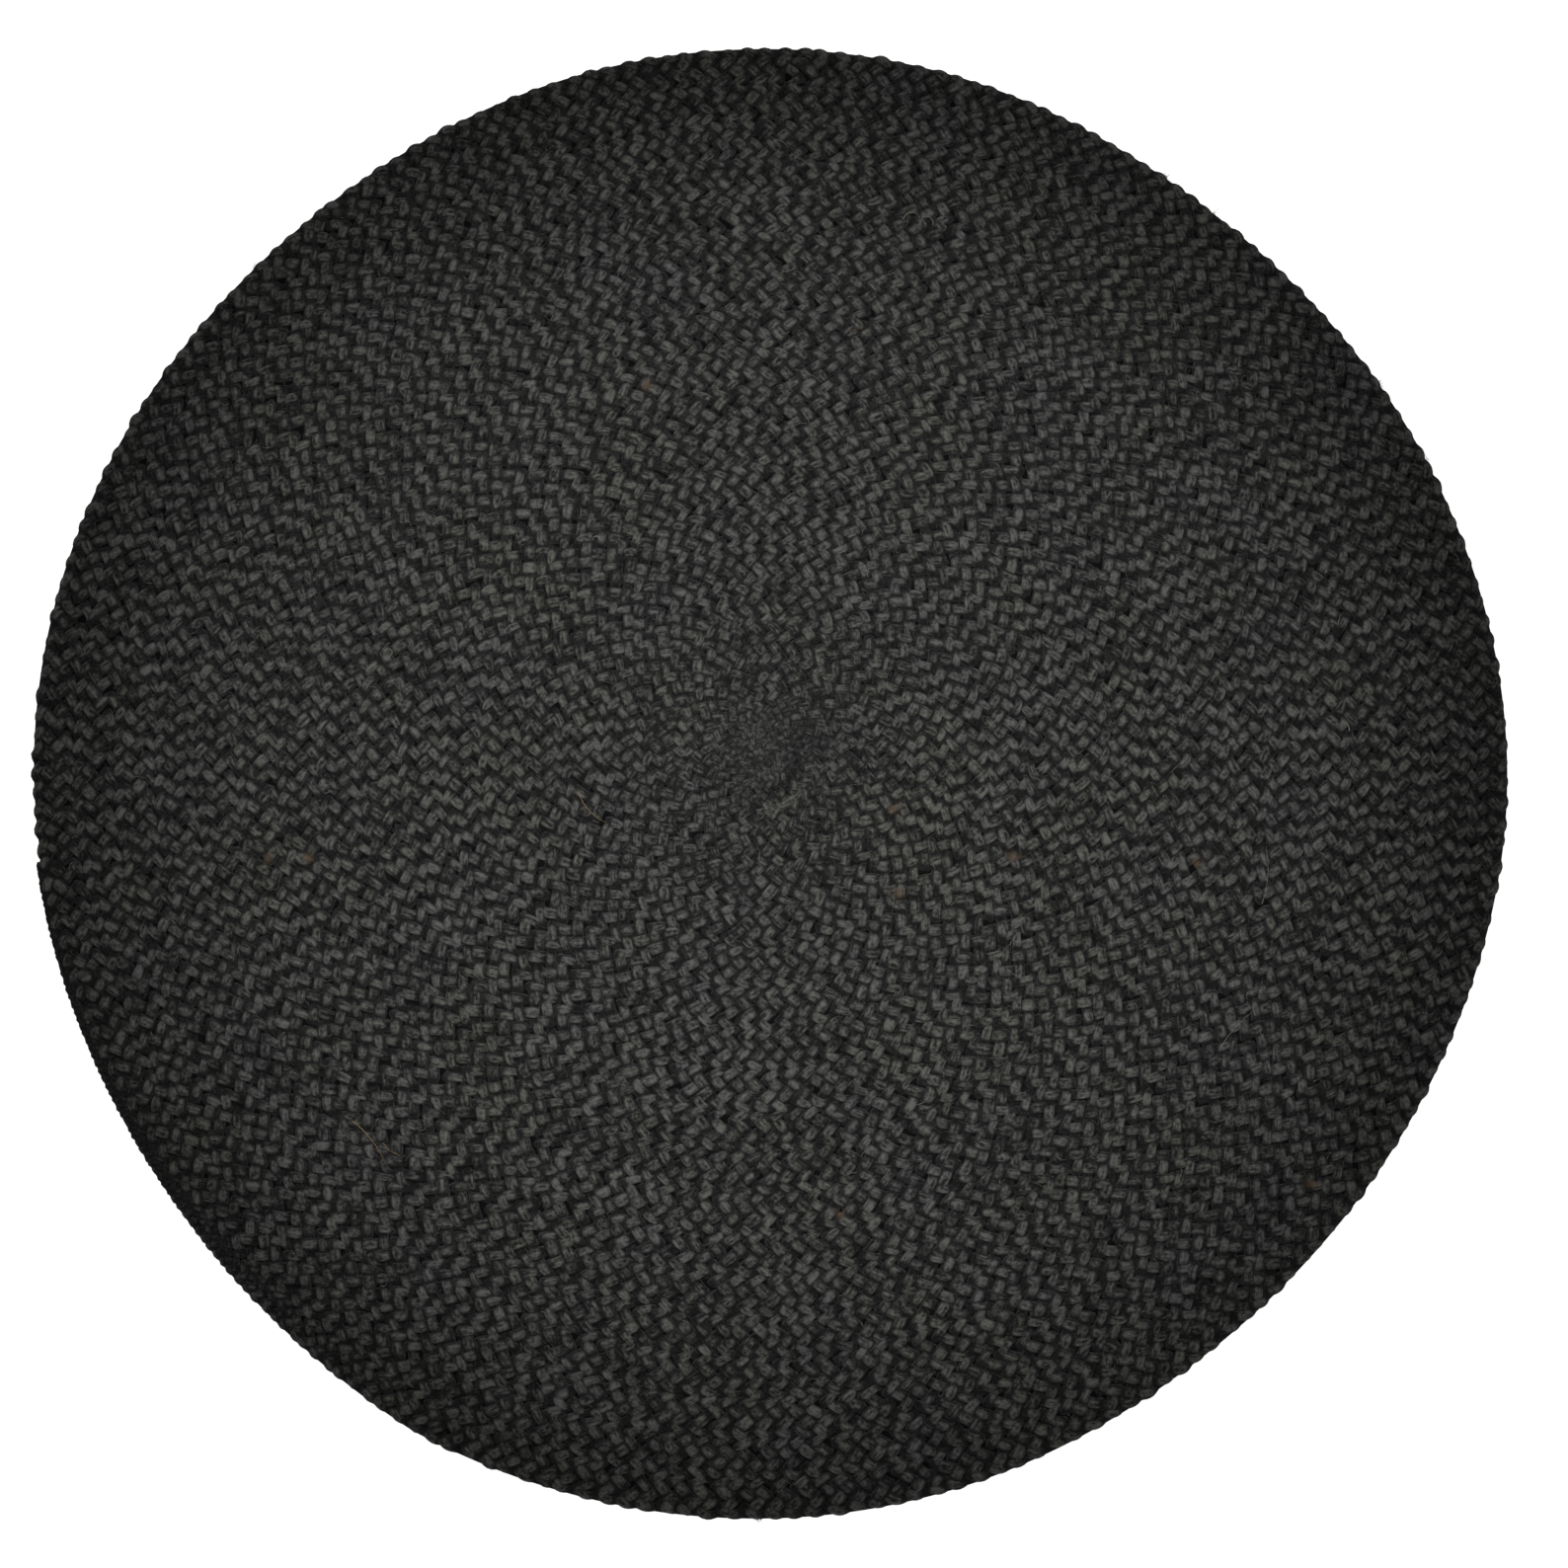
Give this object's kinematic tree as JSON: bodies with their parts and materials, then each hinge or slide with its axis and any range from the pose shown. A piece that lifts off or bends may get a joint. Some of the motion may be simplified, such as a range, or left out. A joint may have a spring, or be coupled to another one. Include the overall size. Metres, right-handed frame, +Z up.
{
  "type": "round area rug",
  "caption": "Round area rug made of a flat jute plait, wound into a spiral and laced edge to edge.",
  "frame": {"origin": "middle of the rug's bounding box, on the underside that lies on the floor", "axes": "+Z up, out of the upper face; the plait's tail ends on the -X side; seen from above the plait winds outwards clockwise"},
  "size_m": [1.4958, 1.5162, 0.012],
  "materials": {
    "plait": "matt charcoal jute strands, coarse and fibrous",
    "lacing": "matt black jute twine"
  },
  "bodies": {
    "root": {"centre_coil": "plait", "round_01": "plait", "round_02": "plait", "round_03": "plait", "round_04": "plait", "round_05": "plait", "round_06": "plait", "round_07": "plait", "round_08": "plait", "round_09": "plait", "round_10": "plait", "round_11": "plait", "round_12": "plait", "round_13": "plait", "round_14": "plait", "round_15": "plait", "round_16": "plait", "round_17": "plait", "round_18": "plait", "tail_end": "plait", "lacing_01": "lacing", "lacing_02": "lacing", "lacing_03": "lacing", "lacing_04": "lacing", "lacing_05": "lacing", "lacing_06": "lacing", "lacing_07": "lacing", "lacing_08": "lacing", "lacing_09": "lacing", "lacing_10": "lacing", "lacing_11": "lacing", "lacing_12": "lacing", "lacing_13": "lacing", "lacing_14": "lacing", "lacing_15": "lacing", "lacing_16": "lacing", "lacing_17": "lacing", "lacing_18": "lacing"}
  },
  "joints": []
}
